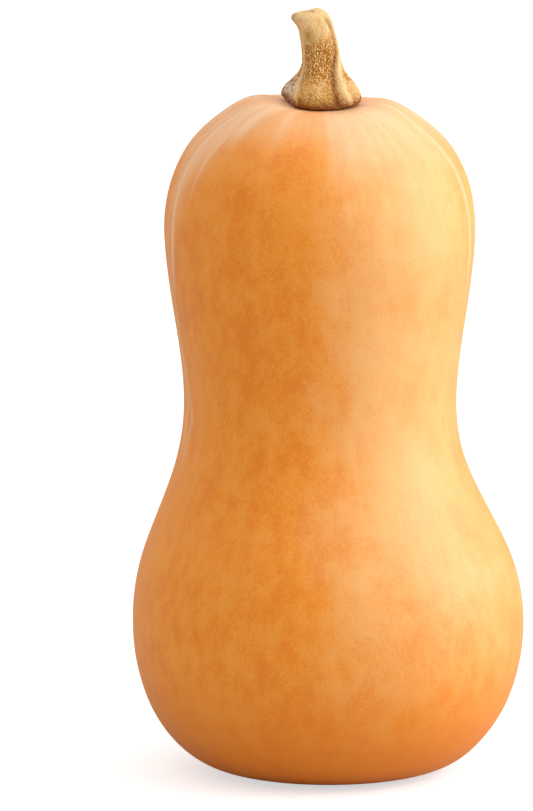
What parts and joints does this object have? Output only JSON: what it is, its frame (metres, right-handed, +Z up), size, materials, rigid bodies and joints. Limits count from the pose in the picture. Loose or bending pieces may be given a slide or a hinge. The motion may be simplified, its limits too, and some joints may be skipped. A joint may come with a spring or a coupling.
{
  "type": "butternut squash",
  "caption": "Whole butternut squash standing on its blossom end: a round bulb, a narrow waist, a long thick neck with rounded shoulders and a short dry lobed stalk that leans to one side",
  "frame": {"origin": "on the ground, under the middle of the bulb", "axes": "+Z is up, from the blossom end to the stalk; -Y is the side that faces the viewer; the neck and the tip of the stalk lean towards -X"},
  "size_m": [0.1317, 0.1317, 0.2569],
  "materials": {
    "skin": "smooth waxy rind with a soft sheen, tan orange with paler streaks round the stalk",
    "stalk": "dry and corky, cream to brown, matte"
  },
  "bodies": {
    "root": {"fruit": "skin", "stalk": "stalk"}
  },
  "joints": []
}
